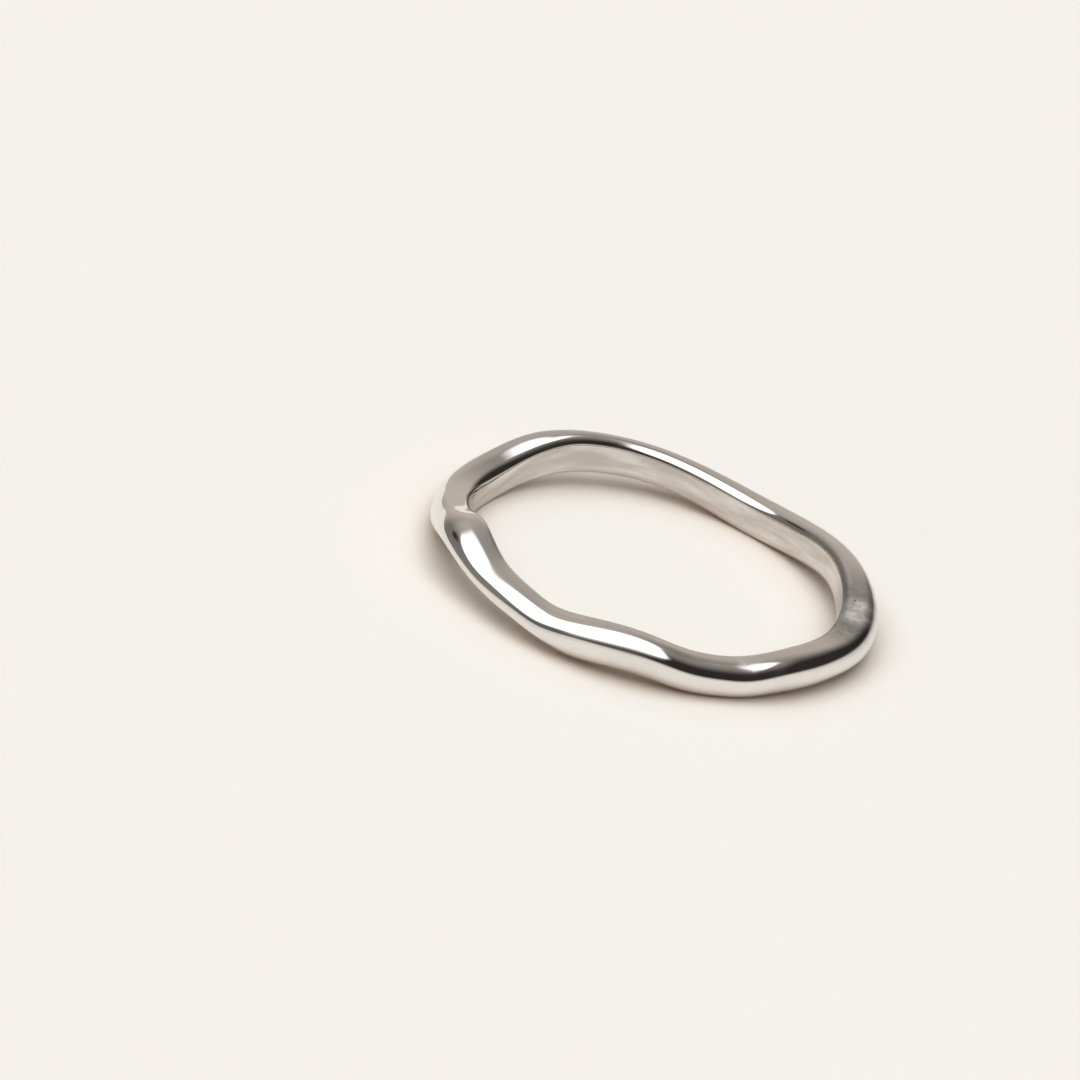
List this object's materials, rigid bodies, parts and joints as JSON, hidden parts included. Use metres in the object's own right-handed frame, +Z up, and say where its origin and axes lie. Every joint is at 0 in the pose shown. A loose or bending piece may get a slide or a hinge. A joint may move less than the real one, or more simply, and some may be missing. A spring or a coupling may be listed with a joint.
{
  "type": "stackable ring",
  "caption": "Slim finger ring for stacking: one polished silver band with a round bore and a domed outside that rises and falls in soft waves round the finger.",
  "frame": {"origin": "on the axis of the finger bore, at the level that the ring lies on", "axes": "+Z up along the bore's axis, the ring lying on its side; +X to the band's wide right-hand end in the picture's view, +Y to its far side, so that the picture's camera looks along +Y and down"},
  "size_m": [0.0206, 0.0203, 0.0028],
  "materials": {
    "polished_silver": "sterling silver, mirror polished, with faint hand-finishing marks"
  },
  "bodies": {
    "root": {"wave_band": "polished_silver"}
  },
  "joints": []
}
